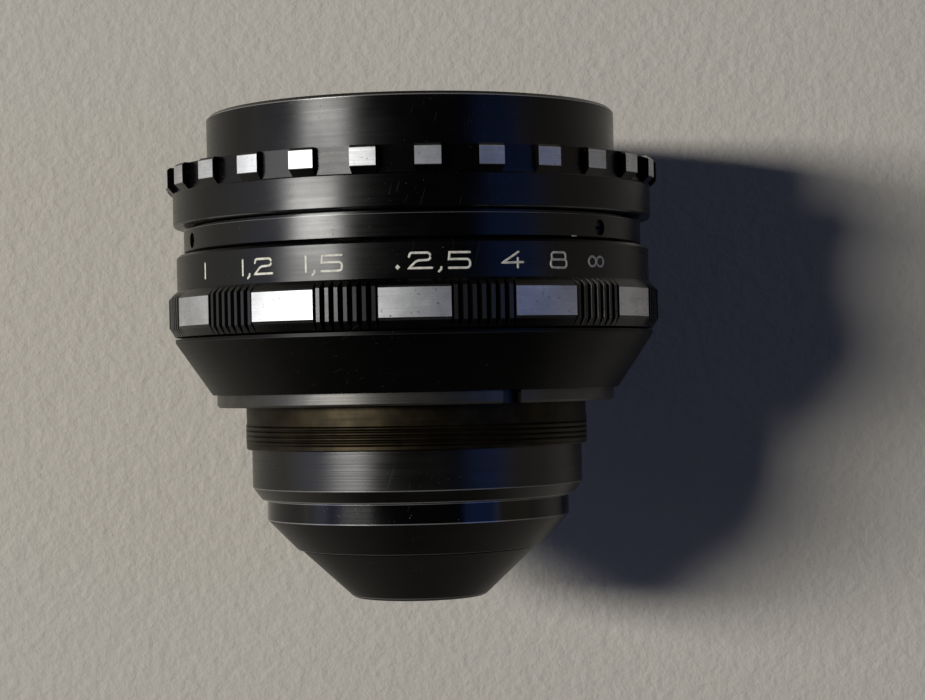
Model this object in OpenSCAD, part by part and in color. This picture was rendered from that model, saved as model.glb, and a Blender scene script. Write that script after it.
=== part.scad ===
// Small wide-angle prime lens for a narrow-gauge cine camera.
// The whole lens is drawn on its own axis with +z towards the subject, then laid
// down by along_axis() so that the front faces -Y. Heights called *_z are measured
// forwards from the seat of the mounting flange, which is the origin. The lens is
// seen lying on its two grip rings, with the focusing scale on top.

/* [Mount] */
// Diameter over the mounting thread, pitch 0.5; the whole lens is sized from it
thread_d = 32; // [26:0.5:40]
// Length of the threaded stretch
thread_len = 2.4; // [2:0.1:4]
// Wall of the brass mount tube under the thread
mount_wall = 1.6; // [1.3:0.05:2]
// Depth of the smooth neck below the thread's crests
neck_relief = 0.3; // [0.1:0.05:0.35]
// Length of the smooth neck between flange and thread
neck_len = 1.5; // [1.2:0.1:3]
// Width of the flange ring outside the thread
flange_w = 2.35; // [1.5:0.05:3]
// Thickness of the flange ring
flange_t = 1.16; // [1:0.02:2]
// Width of the orientation notch in the flange
notch_w = 1.8; // [1:0.1:3]
// Angle of the orientation notch from the top
notch_angle = 28; // [-180:1:180]

/* [Fixed body] */
// Wall of the body tube that carries the focusing ring
body_wall = 1.7; // [1.4:0.05:2.2]
// Step from the flange ring out to the narrow end of the conical skirt
skirt_step = 0.4; // [0.2:0.05:1]
// How far the skirt widens towards the focusing ring
skirt_flare = 3.3; // [2.5:0.1:4]
// Height of the skirt's front edge above the flange seat
skirt_z = 6.3; // [5:0.1:8]
// Wall of the conical skirt
skirt_wall = 1.5; // [1:0.1:2]
// Length of the guard tube's straight part behind the thread
guard_len = 3.5; // [2:0.1:6]
// Length of the guard tube's bevelled end
guard_shoulder_len = 1.1; // [0.5:0.1:2]
// How far the bevelled end slopes in
guard_bevel = 0.8; // [0.3:0.05:1]
// Width of the guard tube's rear face
guard_lip = 0.35; // [0.2:0.05:0.6]

/* [Focusing ring] */
// Width of the recess that covers the helicoid flange
helicoid_flange_w = 1.9; // [1.7:0.05:2.4]
// Wall of the ring round that recess
scale_wall = 2.6; // [2:0.1:3.5]
// Length of the engraved distance scale
scale_len = 3.25; // [3:0.05:5]
// How far the lands of the grip stand above the scale
grip_rise = 0.8; // [0.4:0.05:1.5]
// Length of the slope behind the lands
grip_rear_len = 0.9; // [0.5:0.1:2]
// Length of the bright lands
land_len = 2.5; // [1.5:0.1:4]
// Length of the slope in front of the lands
grip_front_len = 0.8; // [0.5:0.1:2]
// Number of bright lands, with a knurled field between each two
land_count = 12; // [8:1:16]
// Angle of one bright land
land_angle = 15.5; // [8:0.5:20]
// Ridges in each knurled field
ridge_count = 7; // [3:1:9]
// Depth of the knurling below the lands
knurl_depth = 0.75; // [0.3:0.05:1]
// How far the ridges stand below the lands
ridge_drop = 0.12; // [0:0.02:0.3]
// Angle turned from rest to the nearest distance
focus_near = 98.4; // [60:0.1:110]
// Angle turned from rest to infinity
focus_far = 5.4; // [2:0.1:12]
// Travel of the lens block for one turn of the ring
helix_lead = 0.5; // [0.4:0.05:1]

/* [Lens block] */
// Gap between the sliding lens barrel and the mount tube
mount_gap = 0.45; // [0.35:0.05:0.8]
// Depth of the helicoid thread on the barrel
helix_depth = 0.35; // [0.2:0.05:0.5]
// Wall of the brass helicoid sleeve
helicoid_wall = 1.3; // [1:0.05:1.6]
// Wall of the barrel round the iris chamber
chamber_wall = 1.15; // [1:0.05:1.5]
// Width of the front housing outside the barrel
housing_w = 3.55; // [3:0.05:4.5]
// Wall of the index sleeve
sleeve_wall = 3.6; // [2.6:0.1:4.5]
// Gap between the scale and the index sleeve
sleeve_gap = 0.2; // [0.15:0.05:0.5]
// Length of the index sleeve
sleeve_len = 2.05; // [1.8:0.05:3]
// Length of the narrow neck in front of the index sleeve
sleeve_neck_len = 0.3; // [0.1:0.05:1]
// Diameter of the grub screws that hold the index sleeve
grub_d = 1.4; // [1:0.1:1.6]
// Angle of the first grub screw; the other two follow at 120 degrees
grub_angle = 52; // [-180:1:180]
// Length of the front barrel ahead of the iris ring
front_len = 4.85; // [4:0.05:8]
// Step from the housing out to the front barrel
front_step = 1.35; // [0.8:0.05:2]
// Wall round the filter thread, which has a pitch of 0.5
filter_wall = 1.1; // [0.8:0.05:1.6]
// Length of the filter thread
filter_len = 2.4; // [2:0.1:3]

/* [Iris ring] */
// Wall of the plain band behind the iris grip
band_wall = 4.55; // [3.6:0.05:5.5]
// Length of the plain band
band_len = 2.9; // [2.4:0.05:4]
// How far the bright teeth stand above the band
tooth_rise = 0.65; // [0.3:0.05:1.2]
// Length of the teeth, with the slope behind them
tooth_len = 2.35; // [1.9:0.05:3.5]
// Number of bright teeth
tooth_count = 26; // [18:1:36]
// Angle of one tooth
tooth_angle = 5.5; // [3:0.5:8]
// Depth of the gaps between the teeth
gap_depth = 0.8; // [0.3:0.05:1]
// Angle the ring turns from full opening to smallest stop
iris_turn = 60; // [40:1:70]

/* [Iris diaphragm] */
// Radius of the full opening
open_r = 5.3; // [4.5:0.1:5.5]
// Room between the blades' outer edge and the chamber wall
blade_room = 1.4; // [1.3:0.05:2]
// Distance from a blade's outer edge to its pins
blade_end_r = 1.5; // [1.2:0.1:1.7]
// Angle that one blade spans between its two pins
blade_span = 78; // [70:1:85]
// Thickness of a blade
blade_t = 0.05; // [0.03:0.01:0.06]
// Angle a blade swings from open to the smallest stop
blade_swing = 24.5; // [15:0.5:25]
// Rise of a blade from its pivot to its drive pin, as a slope
blade_slope = 0.13; // [0.11:0.01:0.14]
// Diameter of the blades' pins
blade_pin_d = 0.9; // [0.6:0.1:1]

/* [Glass] */
// Diameter of the front element
front_glass_d = 25; // [20:0.5:27]
// Diameter of the second element
second_glass_d = 18; // [14:0.5:19]
// Diameter of the three elements behind the iris
inner_glass_d = 14; // [11:0.5:16]
// Diameter of the rear element
rear_glass_d = 11; // [9:0.5:13]

/* [Rear cell] */
// How far the lens barrel reaches out behind the guard tube
barrel_reach = 1.9; // [1.5:0.1:4]
// Length of the first cone
cone_a_len = 2.8; // [2:0.1:4]
// How far the first cone slopes in
cone_a_drop = 2.95; // [2:0.05:4]
// Length of the second cone
cone_b_len = 4.6; // [4:0.1:6]
// Width of the rear rim outside the rear element
rear_rim_w = 0.55; // [0.4:0.05:1.5]
// Width of the lip behind the rear element
rear_lip_w = 0.8; // [0.5:0.05:1]

/* [Fits] */
// Radial clearance of turning and sliding fits
run_fit = 0.05; // [0.03:0.01:0.08]
// Axial gap between pieces that turn against each other
end_gap = 0.1; // [0.08:0.01:0.15]

/* [Hidden] */
$fn = 96;

// Diameters, from the mounting thread inwards and then outwards.
mount_bore_d = thread_d - 2 * mount_wall;
barrel_d = mount_bore_d - 2 * mount_gap;
helix_d = barrel_d + 2 * helix_depth;
body_bore_d = helix_d + 2 * helicoid_wall;
body_tube_d = body_bore_d + 2 * body_wall;
neck_d = thread_d - 2 * neck_relief;
flange_d = thread_d + 2 * flange_w;
skirt_small_d = flange_d + 2 * skirt_step;
skirt_large_d = skirt_small_d + 2 * skirt_flare;
helicoid_flange_d = body_tube_d + 2 * helicoid_flange_w;
scale_d = helicoid_flange_d + 2 * scale_wall;
grip_d = scale_d + 2 * grip_rise;
housing_d = barrel_d + 2 * housing_w;
sleeve_d = housing_d + 2 * sleeve_wall;
band_d = housing_d + 2 * band_wall;
tooth_d = band_d + 2 * tooth_rise;
front_d = housing_d + 2 * front_step;
filter_d = front_d - 2 * filter_wall;
chamber_d = barrel_d - 2 * chamber_wall;
spigot_w = 2.7;
spigot_d = chamber_d + 2 * spigot_w;
tube_wall = 1.65;
tube_bore_d = barrel_d - 2 * tube_wall;
cone_mid_d = barrel_d - 2 * cone_a_drop;
rear_rim_d = rear_glass_d + 2 * rear_rim_w;
rear_open_d = rear_glass_d - 2 * rear_lip_w;
guard_gap = 0.15;
guard_bore_r = barrel_d / 2 + guard_gap;
guard_end_d = 2 * (guard_bore_r + guard_lip);
guard_d = guard_end_d + 2 * guard_bevel;

// Heights of the mount, from the flange seat to the rear rim.
thread_rear_z = -neck_len - thread_len;
guard_rear_z = thread_rear_z - guard_len - guard_shoulder_len;
barrel_rear_z = guard_rear_z - barrel_reach;
cell_rear_z = barrel_rear_z - cone_a_len;
rear_z = cell_rear_z - cone_b_len;
mount_front_z = 3;

// Heights of the rings, from the skirt to the front rim.
skirt_gap = 0.2;
focus_rear_z = skirt_z + skirt_gap;
land_rear_z = focus_rear_z + grip_rear_len;
land_front_z = land_rear_z + land_len;
grip_front_z = land_front_z + grip_front_len;
scale_z = grip_front_z + scale_len;
sleeve_z = scale_z + sleeve_gap;
band_z = sleeve_z + sleeve_len + sleeve_neck_len + end_gap;
tooth_rear_z = band_z + band_len;
tooth_front_z = tooth_rear_z + tooth_len;
front_z = tooth_front_z + front_len;

// The helicoid and its stops.
helicoid_recess = 2.55;
body_tube_z = scale_z - helicoid_recess;
retainer_t = 0.9;
sleeve_rear_z = mount_front_z + end_gap + retainer_t + end_gap;
helicoid_flange_t = 0.8;
helicoid_front_z = body_tube_z + end_gap + helicoid_flange_t;
screw_thread_d = 1.2;
screw_thread_len = 1.3;
screw_head_d = 2;
screw_head_t = 0.45;
screw_r = (body_tube_d + helicoid_flange_d) / 4;

guide_pin_d = 2;
guide_pin_z = -0.4;
guide_pin_angle = 180;
guide_pin_seat = 1;
guide_pin_reach = 0.8;
guide_slot_spare = 0.33;
guide_pin_top = mount_bore_d / 2 + guide_pin_seat;
focus_travel = helix_lead * (focus_near + focus_far) / 360;

stop_pin_d = 1.2;
stop_pin_z = (focus_rear_z + body_tube_z) / 2;
stop_pin_reach = 1;
stop_pin_angle = 150;

land_phase = 1.4;
ridge_pitch = (360 / land_count - land_angle) / ridge_count;
tooth_phase = 4.8;
grub_z = sleeve_z + 0.95;

// The iris, from the blades' pivots to the cam ring.
seat_gap = 0.02;
pin_fit = 0.04;
blade_count = 8;
blade_outer_r = chamber_d / 2 - blade_room;
pivot_r = blade_outer_r - blade_end_r;
drive_pin_at = pivot_r * [cos(blade_span), sin(blade_span)];
blade_chord = norm(drive_pin_at - [pivot_r, 0]);
blade_chord_angle = atan2(drive_pin_at[1], drive_pin_at[0] - pivot_r);
blade_rise = blade_slope * blade_chord;
blade_lift = 0.35;
cam_room = 0.33;
iris_plate_t = 0.8;
iris_wall_t = 0.8;
iris_gap_h = blade_lift + blade_rise + cam_room;
cam_t = 0.7;
cam_wall_t = 0.7;
slot_steps = 14;
slot_spare = 1;

// The housing and the iris chamber in it, ahead of the sliding barrel.
housing_drop = 0.95;
housing_rear_z = scale_z - housing_drop;
front_seat_drop = 1.35;
housing_z = tooth_front_z - front_seat_drop;
spigot_len = 1.5;
chamber_front_z = housing_z - spigot_len;
second_gap = 0.35;
second_lip_t = 0.7;
second_room = 4.15;
chamber_rear_z = chamber_front_z - second_room - second_lip_t - second_gap - cam_t
    - iris_gap_h - iris_plate_t;
iris_plate_z = chamber_rear_z + iris_plate_t;
blade_pivot_z = iris_plate_z + blade_lift;
cam_z = iris_plate_z + iris_gap_h;
cam_front_z = chamber_front_z - 0.2;
drive_pin_d = 1.2;
drive_pin_grip = 2;
drive_z = band_z + 1.3;
drive_angle = -120;

// The front and second elements with their seats.
web_t = 1.2;
trim_drop = 1.5;
trim_z = front_z - filter_len - trim_drop;
front_seat_z = chamber_front_z + web_t;
front_vertex_z = front_z - filter_len;
front_outer_r = 28;
front_inner_r = 16;
front_glass_t = 1.4;
clamp_w = 0.9;
baffle_steps = 5;
filter_relief = 0.2;
second_thread_d = front_glass_d - 4;
second_cell_gap = 0.3;
second_cell_d = chamber_d - 2 * (run_fit + cam_wall_t + second_cell_gap);
second_rear_z = cam_z + cam_t + second_gap;
second_seat_z = second_rear_z + second_lip_t;
second_lip_w = 1;
second_outer_r = 20;
second_inner_r = 14;
second_hollow_z = second_seat_z + 2.3;
second_vertex_z = chamber_front_z - 0.4;
second_clamp_w = 0.8;
second_front_z = second_vertex_z - sag(second_outer_r, second_glass_d / 2 - second_clamp_w) + 0.5;

// The three elements behind the iris and the rear element.
inner_wall = 2.5;
shoulder_bore_d = inner_glass_d + 2 * inner_wall;
doublet_front_z = chamber_rear_z - 0.6;
doublet_bend = 11;
doublet_outer_bend = 24;
doublet_edge_t = 0.44;
doublet_rear_t = 1.2;
doublet_joint_z = doublet_front_z - doublet_edge_t - sag(doublet_bend, inner_glass_d / 2)
    - sag(doublet_outer_bend, inner_glass_d / 2);
doublet_rear_z = doublet_joint_z - doublet_rear_t;
inner_bend = 22;
inner_edge_t = 0.51;
inner_air = 0.2;
inner_front_z = doublet_rear_z - inner_air;
inner_rear_z = inner_front_z - inner_edge_t - 2 * sag(inner_bend, inner_glass_d / 2);
inner_lip_w = 0.8;
inner_seat_z = inner_rear_z + sag(inner_bend, inner_glass_d / 2 - inner_lip_w) - seat_gap;
cell_thread_len = 3.4;
rear_glass_t = 3.9;
rear_bend_a = 14;
rear_bend_b = 12;
rear_lip_r = rear_open_d / 2 + 0.1;
rear_vertex_z = rear_z + 1.4;
rear_seat_z = rear_vertex_z + rear_glass_t - sag(rear_bend_a, rear_lip_r) + seat_gap;
cell_spigot_r = rear_glass_d / 2 + 2;
cell_spigot_z = rear_vertex_z + sag(rear_bend_b, rear_glass_d / 2) - 0.3;

// Lays the lens down: +z of the modules becomes the front, -Y.
module along_axis() {
    rotate([90, 0, 0]) children();
}

// Puts a feature drawn towards +y at an angle from the top, positive towards -X.
module at_angle(angle) {
    rotate([0, 0, angle]) children();
}

// A round hole or pin that runs outwards through a wall at a height.
module radial_rod(d, r_from, r_to, z, angle) {
    at_angle(angle) translate([0, r_from, z]) rotate([-90, 0, 0]) cylinder(d = d, h = r_to - r_from);
}

// A turned piece from its half outline.
module turned(outline) {
    rotate_extrude() polygon(outline);
}

// A plain ring between two heights.
module ring(outer_d, inner_d, z_from, z_to) {
    turned([[inner_d / 2, z_from], [outer_d / 2, z_from], [outer_d / 2, z_to], [inner_d / 2, z_to]]);
}

// A pair of slots for a pin spanner, cut down into the front face of a ring.
module spanner_slots(r_from, r_to, w, z) {
    for (side = [0, 180])
        at_angle(side) translate([-w / 2, r_from, z]) cube([w, r_to - r_from, 2]);
}

module mount_tube() {
    lead = 0.35;
    color("darkgoldenrod") along_axis() difference() {
        turned([
            [mount_bore_d / 2, thread_rear_z],
            [thread_d / 2 - lead, thread_rear_z],
            [thread_d / 2, thread_rear_z + lead],
            [thread_d / 2, -neck_len],
            [neck_d / 2, -neck_len],
            [neck_d / 2, 0],
            [body_bore_d / 2, 0],
            [body_bore_d / 2, mount_front_z],
            [mount_bore_d / 2, mount_front_z]]);
        radial_rod(guide_pin_d, 0, guide_pin_top, guide_pin_z, guide_pin_angle);
    }
}

module guide_pin() {
    color("silver") along_axis()
        radial_rod(guide_pin_d, barrel_d / 2 - guide_pin_reach, guide_pin_top, guide_pin_z,
            guide_pin_angle);
}

module flange_ring() {
    edge = 0.2;
    relief = (thread_d - body_bore_d) / 2 + 0.2;
    color("dimgray") along_axis() difference() {
        turned([
            [body_bore_d / 2, relief],
            [body_bore_d / 2 + relief, 0],
            [flange_d / 2 - edge, 0],
            [flange_d / 2, edge],
            [flange_d / 2, flange_t],
            [body_bore_d / 2, flange_t]]);
        at_angle(notch_angle)
            translate([-notch_w / 2, body_tube_d / 2, -1])
                cube([notch_w, flange_d, flange_t + 2]);
    }
}

module body_tube() {
    color("dimgray") along_axis() difference() {
        ring(body_tube_d, body_bore_d, flange_t, body_tube_z);
        radial_rod(stop_pin_d, 0, body_tube_d, stop_pin_z, stop_pin_angle);
    }
}

module body_skirt() {
    web_t = 1.6;
    color([0.09, 0.09, 0.1]) along_axis() turned([
        [body_tube_d / 2, flange_t],
        [skirt_small_d / 2, flange_t],
        [skirt_large_d / 2, skirt_z - 0.3],
        [skirt_large_d / 2, skirt_z],
        [skirt_large_d / 2 - skirt_wall, skirt_z],
        [skirt_small_d / 2 - skirt_wall + 1.2, flange_t + web_t],
        [body_tube_d / 2, flange_t + web_t]]);
}

module rear_guard() {
    color([0.09, 0.09, 0.1]) along_axis() turned([
        [guard_bore_r, guard_rear_z],
        [guard_end_d / 2, guard_rear_z],
        [guard_d / 2, guard_rear_z + guard_shoulder_len],
        [guard_d / 2, thread_rear_z],
        [guard_bore_r, thread_rear_z]]);
}

module helicoid_retainer() {
    z = mount_front_z + end_gap;
    color("goldenrod") along_axis() difference() {
        ring(body_bore_d, helix_d + 0.4, z, z + retainer_t);
        spanner_slots(helix_d / 2 - 1, body_bore_d / 2 - 0.4, 1.2, z + retainer_t / 2);
    }
}

module focus_stop_pin() {
    color("silver") along_axis()
        radial_rod(stop_pin_d, body_bore_d / 2 + 0.1, body_tube_d / 2 + stop_pin_reach, stop_pin_z,
            stop_pin_angle);
}

// The comb of V grooves that is cut away for one knurled field.
module knurl_cut() {
    tip_r = grip_d / 2 - ridge_drop;
    root_r = grip_d / 2 - knurl_depth;
    half = ridge_pitch * ridge_count / 2;
    comb = [for (i = [0 : ridge_count - 1])
        for (step = [[0, root_r], [0.3, tip_r], [0.7, tip_r], [1, root_r]])
            let (a = (i + step[0]) * ridge_pitch - half) step[1] * [-sin(a), cos(a)]];
    far = [for (a = [half, 0, -half]) (grip_d / 2 + 2) * [-sin(a), cos(a)]];
    translate([0, 0, focus_rear_z - 1])
        linear_extrude(height = grip_front_z - focus_rear_z + 2) polygon(concat(comb, far));
}

module focus_ring() {
    lip = 0.25;
    flare = 0.35;
    bore_r = body_tube_d / 2 + run_fit;
    seat_z = body_tube_z + end_gap;
    color([0.1, 0.1, 0.11]) along_axis() difference() {
        turned([
            [bore_r, focus_rear_z],
            [skirt_large_d / 2, focus_rear_z],
            [grip_d / 2, land_rear_z],
            [grip_d / 2, land_front_z],
            [scale_d / 2 + flare, grip_front_z - 0.3],
            [scale_d / 2, grip_front_z],
            [scale_d / 2, scale_z - lip],
            [scale_d / 2 - lip, scale_z],
            [helicoid_flange_d / 2, scale_z],
            [helicoid_flange_d / 2, seat_z],
            [bore_r, seat_z]]);
        for (i = [0 : land_count - 1])
            at_angle((i + 0.5) * 360 / land_count + land_phase) knurl_cut();
        focus_stop_groove();
        helicoid_screw_rods(screw_thread_d, seat_z - screw_thread_len);
    }
}

// The arc-shaped groove in the ring's bore that the stop pin runs in.
module focus_stop_groove() {
    groove_r = body_tube_d / 2 + stop_pin_reach + 0.3;
    pin_half = asin((stop_pin_d / 2 + 0.1) / (body_tube_d / 2));
    z = stop_pin_z - stop_pin_d / 2 - 0.15;
    at_angle(stop_pin_angle + 90 - focus_near - pin_half)
        translate([0, 0, z])
            rotate_extrude(angle = focus_near + focus_far + 2 * pin_half)
                square([groove_r, stop_pin_d + 0.3]);
}

module helicoid_screw_rods(d, z) {
    for (i = [0 : 2])
        at_angle(i * 120) translate([0, screw_r, z])
            cylinder(d = d, h = 2 * (screw_thread_len + helicoid_flange_t));
}

module helicoid_sleeve() {
    seat_z = body_tube_z + end_gap;
    color("goldenrod") along_axis() difference() {
        turned([
            [helix_d / 2 + run_fit, sleeve_rear_z],
            [body_bore_d / 2 - run_fit, sleeve_rear_z],
            [body_bore_d / 2 - run_fit, seat_z],
            [helicoid_flange_d / 2, seat_z],
            [helicoid_flange_d / 2, helicoid_front_z],
            [helix_d / 2 + run_fit, helicoid_front_z]]);
        helicoid_screw_rods(screw_thread_d, seat_z - 1);
        helicoid_screw_rods(screw_head_d, helicoid_front_z - screw_head_t);
    }
}

module helicoid_screws() {
    seat_z = body_tube_z + end_gap;
    shank_z = seat_z - screw_thread_len + 0.1;
    color("silver") along_axis()
        for (i = [0 : 2])
            at_angle(i * 120) translate([0, screw_r, 0]) difference() {
                union() {
                    translate([0, 0, shank_z])
                        cylinder(d = screw_thread_d, h = helicoid_front_z - shank_z - seat_gap);
                    translate([0, 0, helicoid_front_z - screw_head_t])
                        cylinder(d = screw_head_d, h = screw_head_t - seat_gap);
                }
                translate([-screw_head_d, -0.15, helicoid_front_z - 0.22])
                    cube([2 * screw_head_d, 0.3, 1]);
            }
}

module lens_barrel() {
    relief_z = housing_rear_z - 1.2;
    slot_h = guide_pin_d + focus_travel + 2 * guide_slot_spare;
    color([0.07, 0.07, 0.08]) along_axis() difference() {
        turned([
            [tube_bore_d / 2, barrel_rear_z],
            [barrel_d / 2, barrel_rear_z],
            [barrel_d / 2, sleeve_rear_z - 0.5],
            [helix_d / 2, sleeve_rear_z - 0.2],
            [helix_d / 2, relief_z],
            [barrel_d / 2, relief_z],
            [barrel_d / 2, housing_rear_z],
            [housing_d / 2, housing_rear_z],
            [housing_d / 2, housing_z],
            [spigot_d / 2, housing_z],
            [spigot_d / 2, chamber_front_z],
            [chamber_d / 2, chamber_front_z],
            [chamber_d / 2, chamber_rear_z],
            [shoulder_bore_d / 2, chamber_rear_z],
            [shoulder_bore_d / 2, chamber_rear_z - 1.4],
            [tube_bore_d / 2, chamber_rear_z - 3]]);
        guide_slot(guide_pin_d, slot_h);
        drive_slot();
        for (i = [0 : 2])
            radial_rod(grub_d, housing_d / 2 - 0.5, housing_d, grub_z, grub_angle + i * 120);
    }
}

// The straight slot in the barrel that the guide pin slides in.
module guide_slot(pin_d, h) {
    w = pin_d + 2 * run_fit;
    at_angle(guide_pin_angle)
        translate([-w / 2, barrel_d / 2 - guide_pin_reach - 0.1, guide_pin_z - h / 2])
            cube([w, barrel_d, h]);
}

// The slot through the housing that the iris drive pin sweeps.
module drive_slot() {
    half = asin((drive_pin_d / 2 + 0.15) / (chamber_d / 2));
    at_angle(drive_angle + 90 - half)
        translate([0, 0, drive_z - drive_pin_d / 2 - 0.1])
            rotate_extrude(angle = iris_turn + 2 * half)
                translate([chamber_d / 2 - 0.5, 0])
                    square([(housing_d - chamber_d) / 2 + 1, drive_pin_d + 0.2]);
}

module index_sleeve() {
    edge = 0.12;
    neck_drop = 0.8;
    front = sleeve_z + sleeve_len;
    color([0.09, 0.09, 0.1]) along_axis() difference() {
        turned([
            [housing_d / 2, sleeve_z],
            [sleeve_d / 2 - edge, sleeve_z],
            [sleeve_d / 2, sleeve_z + edge],
            [sleeve_d / 2, front],
            [sleeve_d / 2 - neck_drop, front],
            [sleeve_d / 2 - neck_drop, band_z - end_gap],
            [housing_d / 2, band_z - end_gap]]);
        for (i = [0 : 2])
            radial_rod(grub_d, 0, sleeve_d, grub_z, grub_angle + i * 120);
    }
}

module sleeve_screws() {
    top_r = sleeve_d / 2 - 0.35;
    foot_r = housing_d / 2 - 0.5;
    color("gray") along_axis()
        for (i = [0 : 2])
            difference() {
                radial_rod(grub_d, foot_r, top_r, grub_z, grub_angle + i * 120);
                at_angle(grub_angle + i * 120)
                    translate([-grub_d, top_r - 0.4, grub_z - 0.13]) cube([2 * grub_d, 1, 0.26]);
            }
}

module front_barrel() {
    bevel = 0.3;
    neck_r = housing_d / 2 - run_fit;
    rear = tooth_front_z + end_gap;
    color([0.08, 0.08, 0.09]) along_axis() turned([
        [second_thread_d / 2, chamber_front_z],
        [spigot_d / 2, chamber_front_z],
        [spigot_d / 2, housing_z],
        [neck_r, housing_z],
        [neck_r, rear],
        [front_d / 2, rear],
        [front_d / 2, front_z - bevel],
        [front_d / 2 - bevel, front_z],
        [filter_d / 2, front_z],
        [filter_d / 2, front_z - filter_len],
        [filter_d / 2 - filter_relief, front_z - filter_len],
        [filter_d / 2 - filter_relief, trim_z],
        [front_glass_d / 2, trim_z],
        [front_glass_d / 2, front_seat_z],
        [second_thread_d / 2, front_seat_z]]);
}

// Depth of a spherical surface of radius bend below its vertex, at radius r.
function sag(bend, r) = abs(bend) - sqrt(bend * bend - r * r);

// A smooth ball for grinding one surface of a lens element.
module ball(r) {
    sphere(r = r, $fn = 240);
}

// A lens element between its front and rear vertices. A positive bend bulges
// outwards and a negative one is hollow.
module element(d, rear, front, bend_rear, bend_front) {
    low = rear - (bend_rear < 0 ? sag(bend_rear, d / 2) : 0);
    high = front + (bend_front < 0 ? sag(bend_front, d / 2) : 0);
    difference() {
        intersection() {
            translate([0, 0, low]) cylinder(d = d, h = high - low);
            if (bend_front > 0) translate([0, 0, front - bend_front]) ball(bend_front);
            if (bend_rear > 0) translate([0, 0, rear + bend_rear]) ball(bend_rear);
        }
        if (bend_front < 0) translate([0, 0, front - bend_front]) ball(-bend_front);
        if (bend_rear < 0) translate([0, 0, rear + bend_rear]) ball(-bend_rear);
    }
}

module front_element() {
    color("lightsteelblue") along_axis() intersection() {
        element(front_glass_d, front_vertex_z - front_glass_t, front_vertex_z, -front_inner_r,
            front_outer_r);
        translate([0, 0, front_seat_z]) cylinder(d = front_glass_d + 1, h = front_z);
    }
}

module front_trim_ring() {
    hole_r = front_glass_d / 2 - clamp_w;
    nose_z = front_vertex_z - sag(front_outer_r, hole_r) + seat_gap;
    outer_r = filter_d / 2 - filter_relief;
    inner_r = front_glass_d / 2 + 0.3;
    top_z = front_vertex_z - 0.05;
    low_z = trim_z + 0.4;
    rim_w = 0.9;
    step_w = (outer_r - rim_w - inner_r) / baffle_steps;
    step_h = (top_z - low_z) / baffle_steps;
    steps = [for (i = [0 : baffle_steps - 1]) for (drop = [i, i + 1])
        [outer_r - rim_w - i * step_w, top_z - drop * step_h]];
    color([0.06, 0.06, 0.07]) along_axis() difference() {
        turned(concat(
            [[hole_r, nose_z],
            [front_glass_d / 2, nose_z],
            [front_glass_d / 2, trim_z],
            [outer_r, trim_z],
            [outer_r, top_z]],
            steps,
            [[inner_r, low_z],
            [hole_r, nose_z + 0.5]]));
        spanner_slots(outer_r - rim_w - 0.2, outer_r - 0.2, 1, top_z - 0.5);
    }
}

module second_cell() {
    bore_r = second_glass_d / 2;
    lip_r = bore_r - second_lip_w;
    color([0.08, 0.08, 0.09]) along_axis() turned([
        [lip_r, second_rear_z],
        [second_cell_d / 2, second_rear_z],
        [second_cell_d / 2, chamber_front_z],
        [second_thread_d / 2, chamber_front_z],
        [second_thread_d / 2, front_seat_z - 0.2],
        [bore_r + 0.4, front_seat_z - 0.2],
        [bore_r + 0.4, second_front_z],
        [bore_r, second_front_z],
        [bore_r, second_seat_z],
        [lip_r, second_seat_z]]);
}

module second_element() {
    color("lightsteelblue") along_axis() intersection() {
        element(second_glass_d, second_hollow_z, second_vertex_z, -second_inner_r, second_outer_r);
        translate([0, 0, second_seat_z]) cylinder(d = second_glass_d + 1, h = 10);
    }
}

module second_retainer() {
    r = second_glass_d / 2;
    hole_r = r - second_clamp_w;
    low = second_vertex_z - sag(second_outer_r, hole_r) + seat_gap;
    top = second_front_z + 0.7;
    color([0.06, 0.06, 0.07]) along_axis() difference() {
        turned([
            [hole_r, low],
            [r, low],
            [r, second_front_z],
            [r + 0.4, second_front_z],
            [r + 0.4, top],
            [hole_r + 0.3, top]]);
        spanner_slots(hole_r, r + 0.1, 0.8, top - 0.4);
    }
}

module iris_housing() {
    wall_r = chamber_d / 2 - iris_wall_t;
    color([0.12, 0.12, 0.12]) along_axis() difference() {
        turned([
            [open_r + 0.3, chamber_rear_z],
            [chamber_d / 2, chamber_rear_z],
            [chamber_d / 2, cam_z - end_gap],
            [wall_r, cam_z - end_gap],
            [wall_r, iris_plate_z],
            [open_r + 0.3, iris_plate_z]]);
        for (i = [0 : blade_count - 1])
            rotate([0, 0, i * 360 / blade_count])
                translate([pivot_r, 0, chamber_rear_z - 1])
                    cylinder(d = blade_pin_d + 2 * pin_fit, h = iris_plate_t + 2);
    }
}

// The outline of one blade at full opening, with its pivot on the x axis.
module blade_outline() {
    far = 2 * blade_outer_r;
    intersection() {
        difference() {
            circle(r = blade_outer_r);
            circle(r = open_r);
        }
        polygon([
            [0, 0],
            [far, 0],
            far * [cos(blade_span / 2), sin(blade_span / 2)],
            far * [cos(blade_span), sin(blade_span)]]);
    }
    translate([pivot_r, 0]) circle(r = blade_end_r);
    translate(drive_pin_at) circle(r = blade_end_r);
}

// One blade: a thin crescent that climbs from its pivot pin to its drive pin, so that
// each blade passes over the next all the way round. Both pins run along the axis.
module blade(i) {
    color([0.2, 0.2, 0.22]) along_axis() rotate([0, 0, i * 360 / blade_count]) {
        translate([pivot_r, 0, blade_pivot_z])
            rotate([0, 0, blade_chord_angle])
                rotate([0, -atan(blade_slope), 0])
                    rotate([0, 0, -blade_chord_angle])
                        translate([-pivot_r, 0])
                            linear_extrude(height = blade_t) blade_outline();
        translate([pivot_r, 0, chamber_rear_z + 0.1])
            cylinder(d = blade_pin_d, h = blade_pivot_z - chamber_rear_z - 0.1 + blade_t);
        translate([drive_pin_at[0], drive_pin_at[1], blade_pivot_z + blade_rise])
            cylinder(d = blade_pin_d, h = cam_z + cam_t - blade_pivot_z - blade_rise - 0.1);
    }
}

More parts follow.
